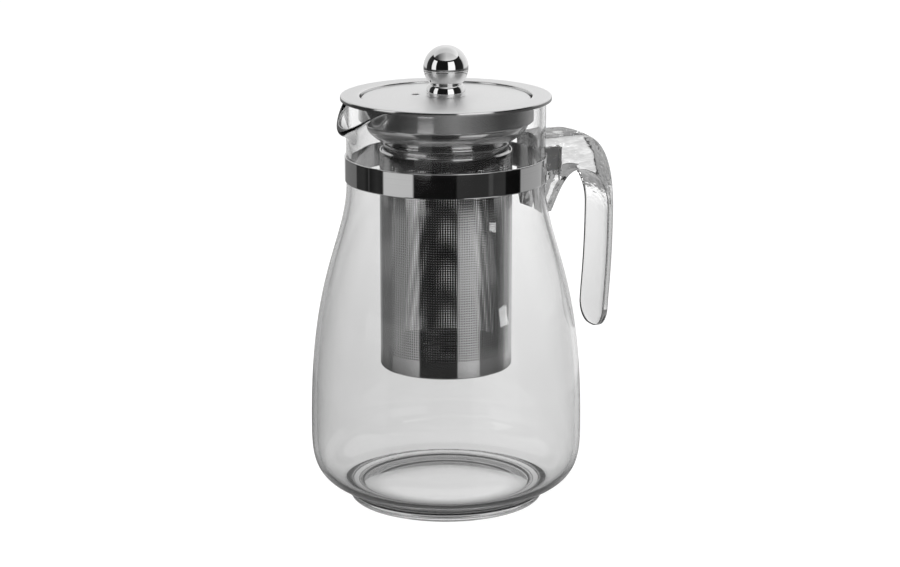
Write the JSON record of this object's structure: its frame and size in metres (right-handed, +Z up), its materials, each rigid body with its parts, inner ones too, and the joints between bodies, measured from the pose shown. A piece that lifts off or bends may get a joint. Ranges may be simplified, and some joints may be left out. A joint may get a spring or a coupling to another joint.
{
  "type": "fruit infuser pitcher",
  "caption": "Glass pitcher with a pinched spout, a banded clear hook handle, a lift-out perforated infuser and a ball-knobbed lid.",
  "frame": {"origin": "middle of the foot ring's flat underside, on the table", "axes": "+Z up, +X towards the handle, -X towards the spout"},
  "size_m": [0.15, 0.1304, 0.2198],
  "materials": {
    "clear_glass": "clear, fire-polished",
    "clear_plastic": "clear, glossy",
    "polished_steel": "mirror polished",
    "satin_steel": "satin",
    "mesh_steel": "perforated satin sheet",
    "plain_steel": "plain"
  },
  "bodies": {
    "jug": {"glass_body": "clear_glass", "neck_band": "polished_steel", "lock_pin": "polished_steel", "handle": "clear_plastic"},
    "infuser": {"infuser_collar": "satin_steel", "infuser_basket": "mesh_steel", "basket_floor": "mesh_steel"},
    "lid": {"lid_plate": "satin_steel", "knob_base": "polished_steel", "knob_cap": "polished_steel", "knob_boss": "plain_steel", "knob_screw": "plain_steel", "knob_washer": "plain_steel"}
  },
  "joints": [
    {"name": "infuser_lift", "type": "slide", "parent": "jug", "child": "infuser", "axis": [0, 0, 1], "range_m": [0, 0.145]},
    {"name": "lid_lift", "type": "slide", "parent": "infuser", "child": "lid", "axis": [0, 0, 1], "range_m": [0, 0.04]}
  ]
}
